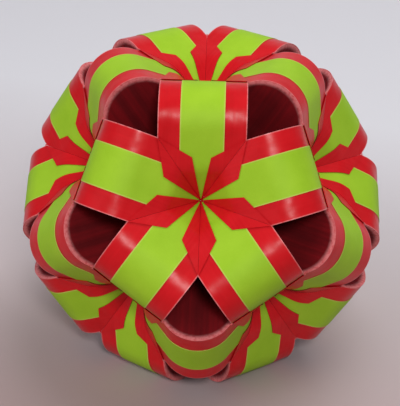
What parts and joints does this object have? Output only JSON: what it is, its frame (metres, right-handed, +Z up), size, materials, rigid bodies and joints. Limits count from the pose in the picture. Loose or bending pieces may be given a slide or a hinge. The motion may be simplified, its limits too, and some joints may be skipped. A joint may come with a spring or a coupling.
{
  "type": "kusudama paper ball",
  "caption": "Hollow ball of folded paper arches set on the edges of an icosahedron, with five-petalled stars where arches meet and a plain strip glued along each arch.",
  "frame": {"origin": "on the floor below the centre of the ball, which rests on the five arches round its lowest star", "axes": "+Z up through the top star; -Y towards the star that faces the viewer; +X to the viewer's right"},
  "size_m": [0.1754, 0.1774, 0.1545],
  "materials": {
    "red_sheet": "glossy coated sheet",
    "green_strip": "matt sheet"
  },
  "bodies": {
    "root": {"unit_01": "red_sheet", "unit_02": "red_sheet", "unit_03": "red_sheet", "unit_04": "red_sheet", "unit_05": "red_sheet", "unit_06": "red_sheet", "unit_07": "red_sheet", "unit_08": "red_sheet", "unit_09": "red_sheet", "unit_10": "red_sheet", "unit_11": "red_sheet", "unit_12": "red_sheet", "unit_13": "red_sheet", "unit_14": "red_sheet", "unit_15": "red_sheet", "unit_16": "red_sheet", "unit_17": "red_sheet", "unit_18": "red_sheet", "unit_19": "red_sheet", "unit_20": "red_sheet", "unit_21": "red_sheet", "unit_22": "red_sheet", "unit_23": "red_sheet", "unit_24": "red_sheet", "unit_25": "red_sheet", "unit_26": "red_sheet", "unit_27": "red_sheet", "unit_28": "red_sheet", "unit_29": "red_sheet", "unit_30": "red_sheet", "strip_01": "green_strip", "strip_02": "green_strip", "strip_03": "green_strip", "strip_04": "green_strip", "strip_05": "green_strip", "strip_06": "green_strip", "strip_07": "green_strip", "strip_08": "green_strip", "strip_09": "green_strip", "strip_10": "green_strip", "strip_11": "green_strip", "strip_12": "green_strip", "strip_13": "green_strip", "strip_14": "green_strip", "strip_15": "green_strip", "strip_16": "green_strip", "strip_17": "green_strip", "strip_18": "green_strip", "strip_19": "green_strip", "strip_20": "green_strip", "strip_21": "green_strip", "strip_22": "green_strip", "strip_23": "green_strip", "strip_24": "green_strip", "strip_25": "green_strip", "strip_26": "green_strip", "strip_27": "green_strip", "strip_28": "green_strip", "strip_29": "green_strip", "strip_30": "green_strip"}
  },
  "joints": []
}
